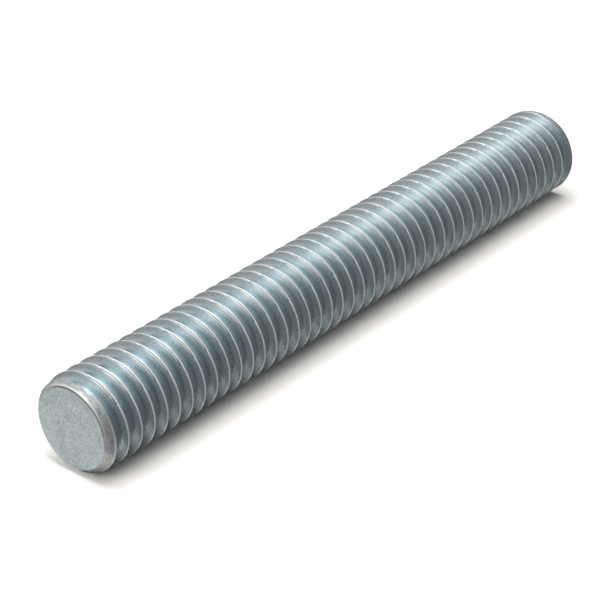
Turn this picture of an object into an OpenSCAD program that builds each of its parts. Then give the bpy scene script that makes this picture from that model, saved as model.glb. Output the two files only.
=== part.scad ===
// Threaded rod: one length of bar, threaded right-handed from end to end, with a chamfer at each end.
// The rod stands on its lower end, with its axis along Z and the middle of that end at the origin.
// Millimetres throughout.

/* [Rod] */
// Length over both ends
rod_l = 62; // [20:1:120]
// Diameter over the crests of the thread
rod_d = 7.94; // [6:0.01:10]

/* [Thread] */
// Threads in an inch of length
threads_per_inch = 18; // [13:1:24]
// Angle round from +X at which the crest runs out at the upper end face
start_angle = 11; // [0:1:359]
// Turns over which the groove fades out at each end
fade_turns = 0.5; // [0.3:0.05:1]

/* [Ends] */
// Length of the 45 degree chamfer at each end
chamfer = 0.54; // [0.3:0.01:0.7]

/* [Hidden] */

rod_r = rod_d / 2;
end_r = rod_r - chamfer;

// Unified thread form: 60 degree flanks, a crest flat of an eighth of the pitch, and a root that is cut
// to 17/24 of the height of the sharp triangle.
pitch = 25.4 / threads_per_inch;
flank = 30;
crest_w = pitch / 8;
groove_h = 17 / 24 * pitch / (2 * tan(flank));
root_w = pitch - crest_w - 2 * groove_h * tan(flank);

// The cutter stands this far proud of the crests, and is lifted clear by the same amount
// where it starts and ends.
clear = 0.3;
cutter_h = groove_h + clear;
mouth_w = root_w + 2 * cutter_h * tan(flank);
fade_l = fade_turns * pitch;

// Sections of the cutter in a turn: fewer on a rod with many turns, so that the whole stays light.
most_sections = 1500;
turns = rod_l / pitch;
steps = max(12, min(24, floor(most_sections / turns)));
last = ceil(turns * steps);

// Radial lift of the cutter where its middle is at height z: none along the rod, clear of it at both ends.
function lift(z) = cutter_h * (1 - min(1, z / fade_l, max(0, rod_l - z) / fade_l));

// The groove lies half a pitch from the crest, which reaches the upper end face at start_angle.
function groove_angle(z) = start_angle + 360 * ((z - rod_l) / pitch - 1 / 2);

function on_rod(r, angle, z) = [r * cos(angle), r * sin(angle), z];

// One section of the cutter: the root, then the mouth, which is outside the rod.
function section(z) =
  let (a = groove_angle(z), inner = rod_r - groove_h + lift(z), outer = inner + cutter_h)
  [
    on_rod(inner, a, z - root_w / 2),
    on_rod(inner, a, z + root_w / 2),
    on_rod(outer, a, z + mouth_w / 2),
    on_rod(outer, a, z - mouth_w / 2)
  ];

// The two triangles between one side of a section and the same side of the next.
function side(i, k) =
  let (a = 4 * i + k, b = 4 * i + (k + 1) % 4)
  [[a, a + 4, b], [b, a + 4, b + 4]];

// Helical cutter, swept up the rod with the groove's cross-section
module thread_cutter() {
  points = [for (i = [0:last]) each section(i * pitch / steps)];
  sides = [for (i = [0:last - 1]) for (k = [0:3]) each side(i, k)];
  foot = [[0, 1, 2, 3]];
  head = [[for (k = [3:-1:0]) 4 * last + k]];
  polyhedron(points, concat(foot, sides, head), convexity = 10);
}

// Bar with both ends chamfered, before it is threaded
module blank() {
  rotate_extrude($fn = 96)
    polygon([
      [0, 0],
      [end_r, 0],
      [rod_r, chamfer],
      [rod_r, rod_l - chamfer],
      [end_r, rod_l],
      [0, rod_l]
    ]);
}

// The rod, in bright zinc-plated steel
module threaded_rod() {
  color([0.66, 0.71, 0.73])
    difference() {
      blank();
      thread_cutter();
    }
}

threaded_rod();
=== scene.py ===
"""Threaded rod: a zinc-plated bar with a rolled right-hand thread, lying on a white surface.

The rod's axis is Z. In this view it lies on its side, so the surface under it is a plane that touches it
all along, and "up" is the direction away from that plane. The near end is the rod's upper end.
"""

import math

import bpy
import numpy as np
from mathutils import Matrix, Vector


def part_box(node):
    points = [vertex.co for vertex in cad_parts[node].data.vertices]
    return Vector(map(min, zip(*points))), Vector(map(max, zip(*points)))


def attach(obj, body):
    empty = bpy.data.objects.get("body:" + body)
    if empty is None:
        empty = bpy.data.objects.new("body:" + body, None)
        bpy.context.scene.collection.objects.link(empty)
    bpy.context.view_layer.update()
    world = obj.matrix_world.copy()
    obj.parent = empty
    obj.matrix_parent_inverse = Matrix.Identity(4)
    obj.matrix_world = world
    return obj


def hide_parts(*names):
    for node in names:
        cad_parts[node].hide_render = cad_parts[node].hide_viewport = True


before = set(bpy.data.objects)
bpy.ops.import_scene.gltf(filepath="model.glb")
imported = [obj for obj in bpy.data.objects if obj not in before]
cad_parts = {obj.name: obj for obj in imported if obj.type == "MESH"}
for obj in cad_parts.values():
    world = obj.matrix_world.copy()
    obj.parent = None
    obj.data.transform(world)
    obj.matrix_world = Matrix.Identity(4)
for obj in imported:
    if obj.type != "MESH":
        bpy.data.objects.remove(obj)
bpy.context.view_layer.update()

MM = 0.001

# The rod, with the sizes of its thread
low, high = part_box("threaded_rod")
ROD_L = high.z - low.z
ROD_R = min(high.x, high.y)
PITCH = 25.4 * MM / 18
START_TURN = 11 / 360
CHAMFER = 0.54 * MM
END_R = ROD_R - CHAMFER
GROOVE_H = 17 / 24 * PITCH * math.sqrt(3) / 2
FADE_L = PITCH / 2
CUTTER_CLEAR = 0.3 * MM
LIFT_H = GROOVE_H + CUTTER_CLEAR

# The rolled form, in pitches: a near lip, a seam, a far lip that stands a little higher, and a round root
FLANK = math.radians(60)
NEAR_LIP_AT = -0.1
NEAR_LIP_ROUND = 0.03
NEAR_LIP_DROP = 0.006
FAR_LIP_AT = 0.02
FAR_LIP_ROUND = 0.05
LIP_INNER = math.radians(45)
FLANK_BULGE = 0.015

# The seam is open along one side of the rod and nearly closed elsewhere, where the near lip sinks a little.
SEAM_AT = -0.044
SEAM_DEPTH = 0.05
SEAM_CLOSED_DEPTH = 0.1
SEAM_OPEN_AT = math.radians(-70)
SEAM_OPEN_FROM = math.radians(25)
SEAM_OPEN_TO = math.radians(10)
NEAR_LIP_SINK = 0.02

# Wander from turn to turn: the turns before it repeats, and each one's seed, knots in a turn and range
DRIFT_TURNS = 64
SEAM_DRIFT = {"seed": 3, "knots": 5, "low_value": 0.7, "high_value": 1.0}
LIP_DRIFT = {"seed": 5, "knots": 7, "low_value": 0, "high_value": 0.005}

# The skin is made of columns of points along the rod, joined round it.
COLUMNS = 72
COLUMN_ANGLES = 2 * math.pi * (START_TURN - np.arange(COLUMNS) / COLUMNS)
SHARP = math.radians(38)

# A point this near an end is put on its rim, and one this near the chamfer's cone is on it.
SNAP = 0.01 * MM
TOUCHING = 1e-6 * MM

# Each end face lies a little below its rim, with a fine groove between them.
RIM_W = 0.03 * MM
GROOVE_W = 0.15 * MM
GROOVE_DEPTH = 0.025 * MM
FACE_DROP = 0.012 * MM

# The materials' places in the mesh
THREAD, CONE, END_FACE = range(3)

# Finishes; a pair is the dark and the pale side of a mottled colour
BLUE_ZINC = ((0.225, 0.276, 0.296, 1), (0.325, 0.39, 0.415, 1))
# Painted shade: a greyer, darker plating along the +X side
PAINTED_SHADE_ZINC = ((0.205, 0.228, 0.234, 1), (0.30, 0.335, 0.343, 1))
# Painted light: a paler plating in the groove
GROOVE_LIGHT_ZINC = ((0.42, 0.505, 0.54, 1), (0.515, 0.61, 0.645, 1))
# Painted highlight at the root
ROOT_HIGHLIGHT_ZINC = (0.7, 0.78, 0.8, 1)
CREST_ZINC = (0.9, 0.91, 0.89, 1)
# Painted shade: the dark colour in the open seam
SEAM_SHADE = (0.06, 0.052, 0.048, 1)
CHAMFER_ZINC = ((0.275, 0.285, 0.285, 1), (0.545, 0.565, 0.565, 1))
# Rubbed wear and painted highlight on the chamfer's edges
RIM_WEAR_AND_HIGHLIGHT_ZINC = (0.63, 0.64, 0.63, 1)
FACE_ZINC = ((0.255, 0.297, 0.312, 1), (0.517, 0.575, 0.597, 1))
# Painted shade in the end face's groove
END_GROOVE_SHADE = (0.11, 0.107, 0.103, 1)

# Where a finish starts and where it is full: towards +X, in shares of the radius
# Painted shade along the +X side of the thread
PAINTED_SHADE_SIDE = (0.68, 0.88)
# The groove's painted light, left out towards -X
GROOVE_LIGHT_SIDE = (-0.87, -0.62)
# Painted shade that dulls the rubbed crests towards +X
CREST_SHADE_SIDE = (0.5, 0.85)
# Painted highlight on the chamfer's outer edge, towards -X
OUTER_EDGE_HIGHLIGHT_SIDE = (0.1, -0.15)

# The same, towards the side where the seam is open
# Painted highlight at the root
ROOT_HIGHLIGHT_SIDE = (0.65, 0.77)
# Painted highlight that keeps the chamfer's rubbed rim to this side
RIM_HIGHLIGHT_SIDE = (0.1, 0.75)
# Painted shade in the end face's groove, on this side
END_GROOVE_SHADE_SIDE = (0.0, 0.8)

# The same, down the groove, in shares of its depth, and up from the lower end, past where the thread runs out
# Painted light down the groove
GROOVE_LIGHT_DEPTH = (0.2, 0.75)
# Painted highlight at the root
ROOT_HIGHLIGHT_DEPTH = (0.68, 0.98)
PAST_RUN_OUT = (0.8 * MM, 1.3 * MM)

# The fine grain is this many times finer than the coarse one, and rubbed edges break up over this length.
FINER = 2.7
BREAK_SIZE = 0.5 * MM

# How the rod lies, and where the eye is
UP_ANGLE = math.radians(-41.46)
EYE = Vector((0, -129.16, 154.27)) * MM
AIM = Vector((-0.61, 0, 35.83)) * MM
LENS = 128.46
SENSOR = 36

AXIS = Vector((0, 0, 1))
PLUS_X = Vector((1, 0, 0))
PLUS_Y = Vector((0, 1, 0))
UP = Vector((math.cos(UP_ANGLE), math.sin(UP_ANGLE), 0))
SIDE = UP.cross(AXIS)
OPEN_SIDE = Vector((math.cos(SEAM_OPEN_AT), math.sin(SEAM_OPEN_AT), 0))

# The white surface, with its colour to the light, to the eye and in the metal
PAPER = (0.8, 0.79, 0.775, 1)
PAPER_SEEN = (1.82, 1.77, 1.72, 1)
PAPER_MIRRORED = (1.57, 1.53, 1.49, 1)
PAPER_HALF = 160 * MM

# The strip of it that glows right under the rod, and fades out before the near end
GLOW = 0.55
GLOW_HALF = 2.6 * MM
GLOW_END = 3 * MM

# The card along the rod: its place, heights above the rod's axis, and its brightness at each
CARD_AWAY = 4.8 * MM
CARD_HALF = 300 * MM
CARD_TOP = 45 * MM
CARD_TURN = 10 * MM
CARD_DARKEST = 0.5 * MM
FOOT_SHADE = 0.38
DARKEST_SHADE = 0.37
TURN_SHADE = 0.82
TOP_SHADE = 1.0

# The corners of a flat sheet, in half sizes
CORNERS = ((-1, -1), (-1, 1), (1, 1), (1, -1))

# The softboxes: name, degrees round from the near end, degrees up from the surface, and brightness
SOFTBOX = 268 * MM
STANDOFF = 500 * MM
SOFTBOXES = (
    ("overhead softbox", 0, 90, 2.3),
    ("high back softbox", 270, 70, 2.1),
    ("high side softbox", 90, 70, 2.3),
    ("high near softbox", 0, 70, 1.05),
    ("near softbox", 0, 40, 1.25),
    ("low near softbox", 0, 25, 0.65),
)


def smooth_step(value, start, end):
    share = np.clip((value - start) / (end - start), 0, 1)
    return share * share * (3 - 2 * share)


def drift(seed, knots, low_value, high_value):
    """A smooth random value along the helix, as a function of the place in turns."""
    values = np.random.default_rng(seed).uniform(low_value, high_value, DRIFT_TURNS * knots)

    def at(turns):
        place = (np.asarray(turns) % DRIFT_TURNS) * knots
        whole = np.floor(place).astype(int)
        part = smooth_step(place - whole, 0, 1)
        return values[whole % len(values)] * (1 - part) + values[(whole + 1) % len(values)] * part

    return at


def arc(middle, depth, radius, start, end, steps):
    """Points of an arc, (across, depth), by the angle from its highest or lowest point."""
    angle = np.linspace(start, end, steps)
    return np.stack([middle + abs(radius) * np.sin(angle), depth + radius * (1 - np.cos(angle))], -1)


def flank(first, last, shares):
    """Points between two ends of a flank, which stands a little proud of the straight line."""
    along = last - first
    outward = np.array([along[1], -along[0]]) / np.hypot(*along)
    share = np.array(shares)[:, None]
    return first + along * share + outward * FLANK_BULGE * np.sin(math.pi * share)


def thread_profile():
    """One pitch of the profile, in pitches: across, depth, and which points are the seam and the root."""
    depth = GROOVE_H / PITCH
    near_foot = NEAR_LIP_AT - NEAR_LIP_ROUND * math.tan(FLANK / 2) + NEAR_LIP_DROP / math.tan(FLANK)
    far_foot = FAR_LIP_AT + FAR_LIP_ROUND * math.tan(FLANK / 2)
    half_groove = (1 + near_foot - far_foot) / 2
    root_round = math.tan(FLANK) * half_groove - depth
    near_lip = arc(NEAR_LIP_AT, NEAR_LIP_DROP, NEAR_LIP_ROUND, -FLANK, LIP_INNER, steps=5)
    far_lip = arc(FAR_LIP_AT, 0, FAR_LIP_ROUND, -LIP_INNER, FLANK, steps=7)
    root = arc(far_foot + half_groove, depth, -root_round, -FLANK, FLANK, steps=7)
    seam = np.array([[SEAM_AT, SEAM_DEPTH]])
    far_flank = flank(far_lip[-1], root[0], (0.33, 0.67))
    near_flank = flank(root[-1], near_lip[0] + (1, 0), (0.2, 0.4, 0.6, 0.8))
    whole = np.concatenate([near_lip, seam, far_lip, far_flank, root, near_flank])
    return whole[:, 0], whole[:, 1], len(near_lip), len(whole) - len(near_flank) - len(root) // 2


def seam_opening():
    """How far the seam is open at each column: 1 on its open side."""
    from_open = np.cos(COLUMN_ANGLES[:, None] - SEAM_OPEN_AT)
    opening = smooth_step(from_open, math.cos(SEAM_OPEN_FROM), math.cos(SEAM_OPEN_TO))
    return SEAM_CLOSED_DEPTH + (1 - SEAM_CLOSED_DEPTH) * opening


def thread_columns():
    """Radius, height and share of seam of every point, in columns that run past both ends of the rod."""
    across, depth, seam, root = thread_profile()
    turns = math.ceil(ROD_L / PITCH) + 2
    turn, step = np.divmod(np.arange(turns * len(across)), len(across))
    crest = (turn - turns + 1)[None, :] - np.arange(COLUMNS)[:, None] / COLUMNS

    # The profile's "across" runs down the rod; it is turned over to keep heights rising.
    height = ROD_L + PITCH * (crest + 1 - across[::-1][step])
    fall = depth[::-1][step]
    place_in_pitch = len(across) - 1 - step

    # Crests are numbered by turns along the rod; past the root, a point belongs to the next one down.
    own = crest - (place_in_pitch >= root)
    opening = seam_opening()
    in_seam = np.where(place_in_pitch == seam, drift(**SEAM_DRIFT)(own) * opening, 0)
    fall = np.where(in_seam > 0, fall * in_seam, fall)
    lip_drop = drift(**LIP_DRIFT)(own) + np.where(place_in_pitch < seam, NEAR_LIP_SINK * (1 - opening), 0)

    # A point's groove is the one below its crest, or above it for the near lip.
    middle = ROD_L + PITCH * (crest + 0.5 + (place_in_pitch < seam))
    fade = np.clip(np.minimum(middle, ROD_L - middle) / FADE_L, None, 1)
    lift = LIFT_H / PITCH * (1 - fade)
    radius = ROD_R - PITCH * (np.maximum(0, fall - lift) + lip_drop)
    return radius, height, in_seam, len(across)


def cut_ends(radius, height):
    """Both chamfers, with a point of each column moved onto the edge where the thread meets the chamfer."""
    gap = END_R + np.minimum(height, ROD_L - height) - radius
    on_edge = np.zeros(gap.shape, bool)
    for k in range(COLUMNS):
        for q in np.nonzero(gap[k, :-1] * gap[k, 1:] < 0)[0]:
            share = gap[k, q] / (gap[k, q] - gap[k, q + 1])
            near = q if share < 0.5 else q + 1
            height[k, near] = height[k, q] + share * (height[k, q + 1] - height[k, q])
            radius[k, near] = radius[k, q] + share * (radius[k, q + 1] - radius[k, q])
            gap[k, near] = 0
            on_edge[k, near] = True
    on_cone = gap <= TOUCHING
    radius = np.where(on_cone, END_R + np.minimum(height, ROD_L - height), radius)
    return radius, height, on_cone, on_edge


def skin_faces(number, per_turn, rim_start):
    """Faces between neighbouring columns of numbered points. The last column meets the first a turn lower.

    Where a column runs onto a rim its points share a number, and a face that loses two of them is left out.
    """
    lower = np.concatenate([np.full(per_turn, rim_start), number[0, :-per_turn]])
    beside = np.concatenate([number[1:], lower[None, :]])
    quads = np.stack([number[:, :-1], number[:, 1:], beside[:, 1:], beside[:, :-1]], -1).reshape(-1, 4)
    faces = [list(dict.fromkeys(quad)) for quad in quads.tolist()]
    return [face for face in faces if len(face) > 2]


def ring(radius, height):
    """One level ring, with a point on every column."""
    x = radius * np.cos(COLUMN_ANGLES)
    y = radius * np.sin(COLUMN_ANGLES)
    return np.stack([x, y, np.full(COLUMNS, height)], -1)


def cap_rings():
    """(radius, distance in from the end) of the rings of an end face, inside a fine flat rim."""
    inner = END_R - RIM_W
    rings = [(inner, 0), (inner - 0.35 * GROOVE_W, GROOVE_DEPTH), (inner - GROOVE_W, FACE_DROP)]
    rings += [(END_R * share, FACE_DROP) for share in (0.85, 0.65, 0.45, 0.25, 0.1)]
    return rings


def cap_points(end, inward):
    """An end face's rings, from the rim inwards, and its middle."""
    rings = [ring(radius, end + inward * drop) for radius, drop in cap_rings()]
    return np.concatenate(rings + [np.array([[0, 0, end + inward * FACE_DROP]])])


def cap_faces(rim, first, turn):
    """An end face's faces, from the rim's points inwards; its own points are numbered from first."""
    faces = []
    outer = rim.tolist()
    for k in range(len(cap_rings())):
        inner = list(range(first + k * COLUMNS, first + (k + 1) * COLUMNS))
        corners = zip(outer, outer[1:] + outer[:1], inner[1:] + inner[:1], inner)
        faces += [list(face)[::turn] for face in corners]
        outer = inner
    middle = outer[-1] + 1
    faces += [[a, b, middle][::turn] for a, b in zip(outer, outer[1:] + outer[:1])]
    return faces


def rod_mesh(places, faces, kinds, marks, materials):
    """The mesh, without the points that no face uses; marks are values for the first points."""
    used = np.unique(np.concatenate([np.array(face) for face in faces]))
    new = np.full(len(places), -1)
    new[used] = np.arange(len(used))
    mesh = bpy.data.meshes.new("zinc_plated_rod")
    mesh.from_pydata(places[used].tolist(), [], [new[face].tolist() for face in faces])
    for name, share in marks.items():
        values = np.zeros(len(places))
        values[:share.size] = share.ravel()
        mesh.attributes.new(name, "FLOAT", "POINT").data.foreach_set("value", values[used])
    for material in materials:
        mesh.materials.append(material)
    mesh.polygons.foreach_set("material_index", kinds)
    mesh.polygons.foreach_set("use_smooth", [True] * len(kinds))
    mesh.set_sharp_from_angle(angle=SHARP)
    mesh.validate()
    return mesh


def build_rod(materials):
    """The rod's one closed skin: the thread and the chamfers, then both end faces."""
    radius, height, in_seam, per_turn = thread_columns()
    radius, height, on_cone, on_edge = cut_ends(radius, height)
    angle = COLUMN_ANGLES[:, None]
    body = np.stack([radius * np.cos(angle), radius * np.sin(angle), height], -1).reshape(-1, 3)

    # Every point past an end is that column's point on the end's rim.
    foot = len(body) + np.arange(COLUMNS)
    head = foot + COLUMNS
    number = np.arange(len(body)).reshape(height.shape)
    number = np.where(height <= SNAP, foot[:, None], number)
    number = np.where(height >= ROD_L - SNAP, head[:, None], number)

    lower_cap = cap_points(0, 1)
    lower_start = len(body) + 2 * COLUMNS
    upper_start = lower_start + len(lower_cap)
    places = np.concatenate([body, ring(END_R, 0), ring(END_R, ROD_L), lower_cap, cap_points(ROD_L, -1)])
    skin = skin_faces(number, per_turn, foot[0])
    caps = cap_faces(foot, lower_start, 1) + cap_faces(head, upper_start, -1)
    cone_point = np.concatenate([on_cone.ravel(), np.ones(2 * COLUMNS, bool)])
    kinds = [CONE if cone_point[face].all() else THREAD for face in skin] + [END_FACE] * len(caps)
    marks = {"seam": np.where(on_cone, 0, in_seam), "cut edge": on_edge}

    mesh = rod_mesh(places, skin + caps, kinds, marks, materials)
    rod = bpy.data.objects.new("zinc_plated_rod", mesh)
    bpy.context.scene.collection.objects.link(rod)
    return rod


def feed(tree, socket, value):
    """Links a socket to an input, or sets the input to a plain value."""
    if isinstance(value, bpy.types.NodeSocket):
        tree.links.new(value, socket)
    else:
        socket.default_value = value


def add(tree, kind, inputs, **settings):
    """A node with its settings, and with its inputs fed by name or number."""
    made = tree.nodes.new(kind)
    for name, value in settings.items():
        setattr(made, name, value)
    for key, value in inputs.items():
        feed(tree, made.inputs[key], value)
    return made


def maths(tree, operation, *values):
    return add(tree, "ShaderNodeMath", dict(enumerate(values)), operation=operation).outputs[0]


def multiply(tree, first, *others):
    for other in others:
        first = maths(tree, "MULTIPLY", first, other)
    return first


def blend(tree, share, first, second):
    """Two values in one, with the given share of the second."""
    rest = maths(tree, "SUBTRACT", 1, share)
    return maths(tree, "ADD", multiply(tree, first, rest), multiply(tree, second, share))


def mix_colour(tree, share, first, second):
    """Two colours in one. Sockets 6 and 7, and the third output, are the Mix node's colours."""
    return add(tree, "ShaderNodeMix", {0: share, 6: first, 7: second}, data_type="RGBA").outputs[2]


def ramp(tree, value, start, end, low_out=0.0, high_out=1.0):
    """A smooth step, from one value at start to another at end."""
    inputs = dict(enumerate((value, start, end, low_out, high_out)))
    return add(tree, "ShaderNodeMapRange", inputs, interpolation_type="SMOOTHSTEP").outputs[0]


def spread(tree, noise, reach, low_out=0.0, high_out=1.0):
    """The part of a noise within reach of its middle value, a half, stretched from one value to another."""
    return ramp(tree, noise, 0.5 - reach, 0.5 + reach, low_out, high_out)


def here(tree):
    """The place of a point of the surface."""
    return tree.nodes.new("ShaderNodeTexCoord").outputs["Object"]


def distance_along(tree, direction):
    made = add(tree, "ShaderNodeVectorMath", {0: here(tree), 1: direction}, operation="DOT_PRODUCT")
    return made.outputs["Value"]


def towards(tree, direction, start, end, low_out=0.0, high_out=1.0):
    """A mask by how far a point lies towards one side of the rod, in shares of its radius."""
    return ramp(tree, distance_along(tree, direction), start * ROD_R, end * ROD_R, low_out, high_out)


def axis_radius(tree):
    x = distance_along(tree, PLUS_X)
    y = distance_along(tree, PLUS_Y)
    return maths(tree, "SQRT", maths(tree, "ADD", multiply(tree, x, x), multiply(tree, y, y)))


def in_groove(tree, radius, start, end):
    """A mask by the depth below the crests, in shares of the groove's depth."""
    return ramp(tree, radius, ROD_R - start * GROOVE_H, ROD_R - end * GROOVE_H)


def marked(tree, name, start, end):
    """1 at the mesh's marked points and 0 away from them."""
    mark = add(tree, "ShaderNodeAttribute", {}, attribute_name=name).outputs["Fac"]
    return ramp(tree, mark, start, end)


def soft_noise(tree, scale, detail, roughness):
    inputs = {"Vector": here(tree), "Scale": scale, "Detail": detail, "Roughness": roughness}
    return add(tree, "ShaderNodeTexNoise", inputs).outputs["Fac"]


def group(name, inputs, output):
    """A new node group with float sockets: its tree, what it is given, and the socket that it puts out."""
    tree = bpy.data.node_groups.new(name, "ShaderNodeTree")
    for socket, value in inputs.items():
        made = tree.interface.new_socket(socket, in_out="INPUT", socket_type="NodeSocketFloat")
        made.default_value = value
    tree.interface.new_socket(output, in_out="OUTPUT", socket_type="NodeSocketFloat")
    given = tree.nodes.new("NodeGroupInput").outputs
    return tree, given, tree.nodes.new("NodeGroupOutput").inputs[output]


def use(tree, effect, values):
    """A node group placed in a material with its own values: what it puts out."""
    return add(tree, "ShaderNodeGroup", values, node_tree=effect).outputs[0]


def rolling_streaks():
    """Fine lines along the thread, as the dies leave them: thin across the flank and long round the rod."""
    sizes = {"Line width": 0.05 * MM, "Line length": 2 * MM}
    tree, given, out = group("rolling streaks", sizes, "Streaks")
    per_length = maths(tree, "DIVIDE", 1, given["Line length"])
    along = add(tree, "ShaderNodeVectorMath", {0: here(tree), "Scale": per_length}, operation="SCALE")
    across = maths(tree, "DIVIDE", axis_radius(tree), given["Line width"])
    inputs = {"Vector": along.outputs[0], "W": across, "Scale": 1.0, "Detail": 2.0, "Roughness": 0.6}
    lines = add(tree, "ShaderNodeTexNoise", inputs, noise_dimensions="4D")
    tree.links.new(lines.outputs["Fac"], out)
    return tree


def plating_grain():
    """The mottled grain of the plating, in a coarse and a fine size."""
    tree, given, out = group("plating grain", {"Grain size": 0.2 * MM, "Fine share": 0.5}, "Grain")
    coarse = soft_noise(tree, maths(tree, "DIVIDE", 1, given["Grain size"]), detail=2.0, roughness=0.55)
    fine = soft_noise(tree, maths(tree, "DIVIDE", FINER, given["Grain size"]), detail=1.0, roughness=0.5)
    tree.links.new(blend(tree, given["Fine share"], coarse, fine), out)
    return tree


def rubbed_edge():
    """Where metal is rubbed bright, from one distance from the axis to another, broken up a little."""
    sizes = {"Rubbed from": ROD_R - 0.043 * MM, "Rubbed to": ROD_R - 0.016 * MM, "Broken": 0.008 * MM}
    tree, given, out = group("rubbed edge", sizes, "Rubbed")
    breaks = maths(tree, "SUBTRACT", soft_noise(tree, 1 / BREAK_SIZE, detail=2.0, roughness=0.5), 0.5)
    moved = maths(tree, "MULTIPLY_ADD", breaks, given["Broken"], axis_radius(tree))
    tree.links.new(ramp(tree, moved, given["Rubbed from"], given["Rubbed to"]), out)
    return tree


def metal(name, grazing):
    """A metal that mirrors only a share at a grazing angle: its material, tree and surface inputs."""
    material = bpy.data.materials.new(name)
    material.use_nodes = True
    surface = material.node_tree.nodes["Principled BSDF"].inputs
    surface["Metallic"].default_value = 1.0
    surface["Specular Tint"].default_value = (grazing, grazing, grazing, 1)
    return material, material.node_tree, surface


def bump(tree, surface, height, strength, distance):
    made = add(tree, "ShaderNodeBump", {"Height": height, "Strength": strength, "Distance": distance})
    tree.links.new(made.outputs["Normal"], surface["Normal"])


def thread_colour(tree, tone, lines):
    """Blue plating, with painted shade that makes it greyer and darker along the +X side, painted light that
    makes the groove paler but not towards -X, and a painted highlight at the root on the side where the seam
    is open.
    """
    radius = axis_radius(tree)
    blue = mix_colour(tree, tone, *BLUE_ZINC)
    grey = mix_colour(tree, tone, *PAINTED_SHADE_ZINC)
    pale = mix_colour(tree, tone, *GROOVE_LIGHT_ZINC)
    # Painted shade: greyer and darker towards +X
    flanks = mix_colour(tree, towards(tree, PLUS_X, *PAINTED_SHADE_SIDE), blue, grey)
    # Painted light: the groove is paler, but not towards -X
    groove_light = multiply(tree, in_groove(tree, radius, *GROOVE_LIGHT_DEPTH), towards(tree, PLUS_X, *GROOVE_LIGHT_SIDE))
    broken = ramp(tree, lines, 0.35, 0.6, low_out=0.5)
    # Painted highlight at the root, on the side where the seam is open
    root = multiply(tree, in_groove(tree, radius, *ROOT_HIGHLIGHT_DEPTH), towards(tree, OPEN_SIDE, *ROOT_HIGHLIGHT_SIDE), broken)
    return mix_colour(tree, root, mix_colour(tree, groove_light, flanks, pale), ROOT_HIGHLIGHT_ZINC)


def thread_zinc(streaks, grain, rubbed):
    """Blue-passivated plating with rolling streaks, bright rubbed crests with painted shade that dulls them
    towards +X, and painted shade in the open seam.
    """
    material, tree, surface = metal("rolled thread zinc", 0.6)
    lines = use(tree, streaks, {"Line width": 0.045 * MM, "Line length": 2.2 * MM})
    spots = use(tree, grain, {"Grain size": 0.2 * MM, "Fine share": 0.5})
    tone = spread(tree, blend(tree, 0.45, lines, spots), reach=0.14)
    edges = maths(tree, "MAXIMUM", use(tree, rubbed, {}), marked(tree, "cut edge", 0.3, 0.9))
    # Painted shade: the rubbed crests are duller towards +X
    crest_shade = towards(tree, PLUS_X, *CREST_SHADE_SIDE, low_out=1, high_out=0.55)
    bright = multiply(tree, edges, crest_shade, ramp(tree, distance_along(tree, AXIS), *PAST_RUN_OUT))
    colour = mix_colour(tree, bright, thread_colour(tree, tone, lines), CREST_ZINC)
    # Painted shade: dark colour in the open seam
    colour = mix_colour(tree, marked(tree, "seam", 0.03, 0.18), colour, SEAM_SHADE)
    rough = spread(tree, spots, reach=0.15, low_out=0.26, high_out=0.34)
    tree.links.new(colour, surface["Base Color"])
    tree.links.new(ramp(tree, bright, 0, 1, low_out=1.0, high_out=0.75), surface["Metallic"])
    tree.links.new(maths(tree, "ADD", rough, multiply(tree, bright, 0.2)), surface["Roughness"])
    bump(tree, surface, tone, strength=0.2, distance=0.012 * MM)
    return material


def chamfer_zinc(streaks, grain, rubbed):
    """Mottled, with short turning marks round the rod, and bright at its two edges: rubbed wear and painted
    highlight, each kept to one side.
    """
    material, tree, surface = metal("chamfer zinc", 0.3)
    lines = use(tree, streaks, {"Line width": 0.05 * MM, "Line length": 0.5 * MM})
    spots = use(tree, grain, {"Grain size": 0.14 * MM, "Fine share": 0.6})
    tone = blend(tree, 0.4, lines, spots)
    # The outer edge: rubbed wear, with a painted highlight that keeps it to the -X side
    outer = ramp(tree, axis_radius(tree), ROD_R - 0.09 * MM, ROD_R - 0.04 * MM)
    outer = multiply(tree, outer, towards(tree, PLUS_X, *OUTER_EDGE_HIGHLIGHT_SIDE, high_out=0.9))
    rim_sizes = {"Rubbed from": END_R + 0.14 * MM, "Rubbed to": END_R + 0.08 * MM, "Broken": 0.05 * MM}
    # The rim: rubbed wear, with a painted highlight that keeps it to the side where the seam is open
    rim = multiply(tree, use(tree, rubbed, rim_sizes), towards(tree, OPEN_SIDE, *RIM_HIGHLIGHT_SIDE))
    colour = mix_colour(tree, spread(tree, tone, reach=0.12), *CHAMFER_ZINC)
    colour = mix_colour(tree, maths(tree, "MAXIMUM", rim, outer), colour, RIM_WEAR_AND_HIGHLIGHT_ZINC)
    tree.links.new(colour, surface["Base Color"])
    tree.links.new(spread(tree, spots, reach=0.15, low_out=0.34, high_out=0.44), surface["Roughness"])
    bump(tree, surface, tone, strength=0.5, distance=0.012 * MM)
    return material


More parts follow.
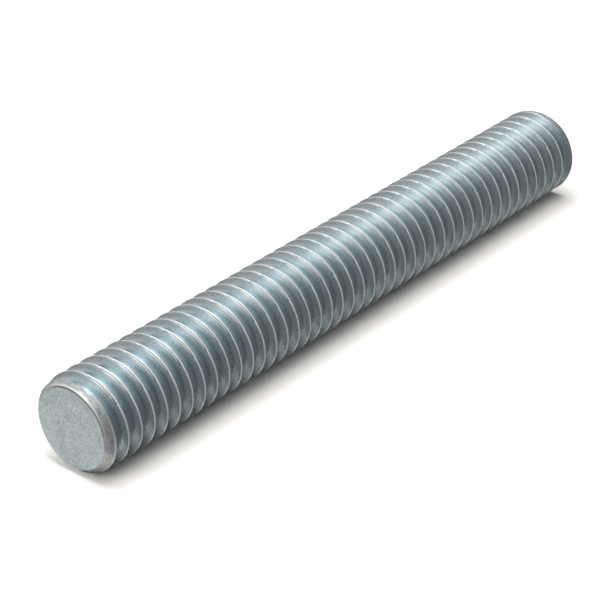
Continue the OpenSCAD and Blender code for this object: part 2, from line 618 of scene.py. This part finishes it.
def end_zinc(grain):
    """The sawn and plated end: even grey with a fine mottled grain, and painted shade in the groove inside
    its rim, on the side where the seam is open.
    """
    material, tree, surface = metal("end face zinc", 0.8)
    spots = use(tree, grain, {"Grain size": 0.12 * MM, "Fine share": 0.4})
    patches = use(tree, grain, {"Grain size": 1.1 * MM, "Fine share": 0.2})
    tone = spread(tree, blend(tree, 0.2, spots, patches), reach=0.14)
    groove = END_R - RIM_W
    # Painted shade in the groove inside the rim, on the side where the seam is open
    painted_groove_shade = ramp(tree, axis_radius(tree), groove - 1.1 * GROOVE_W, groove - 0.6 * GROOVE_W)
    painted_groove_shade = multiply(tree, painted_groove_shade, towards(tree, OPEN_SIDE, *END_GROOVE_SHADE_SIDE))
    colour = mix_colour(tree, painted_groove_shade, mix_colour(tree, tone, *FACE_ZINC), END_GROOVE_SHADE)
    tree.links.new(colour, surface["Base Color"])
    tree.links.new(spread(tree, spots, reach=0.15, low_out=0.48, high_out=0.6), surface["Roughness"])
    bump(tree, surface, spots, strength=0.6, distance=0.015 * MM)
    return material


def seen_as_background(tree):
    """1 for the rays that show the background: straight to the eye, mirrored or through glass."""
    rays = tree.nodes.new("ShaderNodeLightPath").outputs
    mirrored = maths(tree, "MAXIMUM", rays["Is Glossy Ray"], rays["Is Transmission Ray"])
    return maths(tree, "MAXIMUM", rays["Is Camera Ray"], mirrored)


def straight_from_metal(tree):
    """1 for light that the metal mirrors to the eye, and 0 for light that lands on the white surface."""
    rays = tree.nodes.new("ShaderNodeLightPath").outputs
    return maths(tree, "LESS_THAN", rays["Diffuse Depth"], 0.5)


def bare_material(name):
    """A material with no nodes but its output: the material, its tree and the output's surface."""
    material = bpy.data.materials.new(name)
    material.use_nodes = True
    tree = material.node_tree
    tree.nodes.clear()
    return material, tree, tree.nodes.new("ShaderNodeOutputMaterial").inputs["Surface"]


def sheet_facing(name, middle, normal, along, half_width, half_height, material):
    """A flat rectangle of the studio, facing along normal."""
    across = along.cross(normal).normalized()
    corners = [middle + along * a * half_width + across * b * half_height for a, b in CORNERS]
    mesh = bpy.data.meshes.new(name)
    mesh.from_pydata([tuple(c) for c in corners], [], [(0, 1, 2, 3)])
    mesh.materials.append(material)
    made = bpy.data.objects.new(name, mesh)
    bpy.context.scene.collection.objects.link(made)
    return made


def underside_glow(tree):
    """The strip right under the rod, which only the metal sees, so that the underside isn't black."""
    mirrored = tree.nodes.new("ShaderNodeLightPath").outputs["Is Glossy Ray"]
    aside = maths(tree, "ABSOLUTE", distance_along(tree, SIDE))
    strip = ramp(tree, aside, GLOW_HALF, 0, 0, GLOW)
    strip_end = ramp(tree, distance_along(tree, AXIS), ROD_L, ROD_L - GLOW_END)
    strength = multiply(tree, strip, strip_end, mirrored, straight_from_metal(tree))
    return add(tree, "ShaderNodeEmission", {"Color": (1, 1, 1, 1), "Strength": strength}).outputs[0]


def build_floor():
    """The white surface under the rod, seen only from the rod's side."""
    material, tree, surface = bare_material("white surface")
    mirrored = tree.nodes.new("ShaderNodeLightPath").outputs["Is Glossy Ray"]
    white = mix_colour(tree, mirrored, PAPER_SEEN, PAPER_MIRRORED)
    colour = mix_colour(tree, seen_as_background(tree), PAPER, white)
    paper = add(tree, "ShaderNodeBsdfDiffuse", {"Color": colour}).outputs[0]
    lit = add(tree, "ShaderNodeAddShader", {0: paper, 1: underside_glow(tree)}).outputs[0]
    clear = tree.nodes.new("ShaderNodeBsdfTransparent").outputs[0]
    from_behind = tree.nodes.new("ShaderNodeNewGeometry").outputs["Backfacing"]
    pick = add(tree, "ShaderNodeMixShader", {0: from_behind, 1: lit, 2: clear})
    tree.links.new(pick.outputs[0], surface)
    sheet_facing("white_surface", AXIS * ROD_L / 2 - UP * ROD_R, UP, AXIS, PAPER_HALF, PAPER_HALF, material)


def build_side_card():
    """A card along the rod that only the metal sees, dark at the height of the rod and white at its top."""
    material, tree, surface = bare_material("shaded card")
    height = distance_along(tree, UP)
    below = ramp(tree, height, -ROD_R, CARD_DARKEST, FOOT_SHADE, DARKEST_SHADE)
    above = ramp(tree, height, CARD_DARKEST, CARD_TURN, 0, TURN_SHADE - DARKEST_SHADE)
    highest = ramp(tree, height, CARD_TURN, CARD_TOP, 0, TOP_SHADE - TURN_SHADE)
    shade = maths(tree, "ADD", below, maths(tree, "ADD", above, highest))
    strength = multiply(tree, shade, straight_from_metal(tree))
    glow = add(tree, "ShaderNodeEmission", {"Color": (1, 1, 1, 1), "Strength": strength})
    tree.links.new(glow.outputs[0], surface)

    half_height = (CARD_TOP + ROD_R) / 2
    middle = AXIS * ROD_L / 2 + SIDE * CARD_AWAY + UP * (CARD_TOP - half_height)
    card = sheet_facing("shaded_card", middle, -SIDE, AXIS, CARD_HALF, half_height, material)
    card.visible_camera = False
    card.visible_diffuse = False
    card.visible_shadow = False
    card.visible_transmission = False


def facing(back, up):
    """A rotation that points -Z along -back, with +Y as near to up as it can be."""
    back = back.normalized()
    right = up.cross(back).normalized()
    return Matrix((right, back.cross(right), back)).transposed()


def softbox(name, round_from_near_end, height, brightness):
    """A square lamp that faces the rod, by its direction in degrees: round from the near end, and up."""
    turn = math.radians(round_from_near_end)
    lift = math.radians(height)
    direction = (AXIS * math.cos(turn) + SIDE * math.sin(turn)) * math.cos(lift) + UP * math.sin(lift)
    lamp = bpy.data.lights.new(name, "AREA")
    lamp.shape = "SQUARE"
    lamp.size = SOFTBOX
    lamp.energy = math.pi * SOFTBOX ** 2 * brightness
    made = bpy.data.objects.new(name, lamp)
    middle = AXIS * ROD_L / 2
    turned = facing(direction, AXIS if height == 90 else UP).to_4x4()
    made.matrix_world = Matrix.Translation(middle + direction * STANDOFF) @ turned
    bpy.context.scene.collection.objects.link(made)


def build_world():
    """White all round, for the eye and for what the metal mirrors; the lamps do the rest of the lighting."""
    world = bpy.data.worlds.new("studio")
    world.use_nodes = True
    world.cycles.sampling_method = "NONE"
    bpy.context.scene.world = world
    tree = world.node_tree
    tree.nodes["Background"].inputs["Color"].default_value = (1, 1, 1, 1)
    tree.links.new(seen_as_background(tree), tree.nodes["Background"].inputs["Strength"])


def build_camera():
    data = bpy.data.cameras.new("camera")
    data.lens = LENS
    data.sensor_width = SENSOR
    data.clip_start = 10 * MM
    data.clip_end = 10000 * MM
    camera = bpy.data.objects.new("camera", data)
    camera.matrix_world = Matrix.Translation(EYE) @ facing(EYE - AIM, UP).to_4x4()
    bpy.context.scene.collection.objects.link(camera)
    bpy.context.scene.camera = camera


build_camera()
build_world()
build_floor()
build_side_card()
for box in SOFTBOXES:
    softbox(*box)

streaks = rolling_streaks()
grain = plating_grain()
rubbed = rubbed_edge()
rod = build_rod([thread_zinc(streaks, grain, rubbed), chamfer_zinc(streaks, grain, rubbed), end_zinc(grain)])
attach(rod, "root")
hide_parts("threaded_rod")

bpy.context.scene.view_settings.view_transform = "Standard"
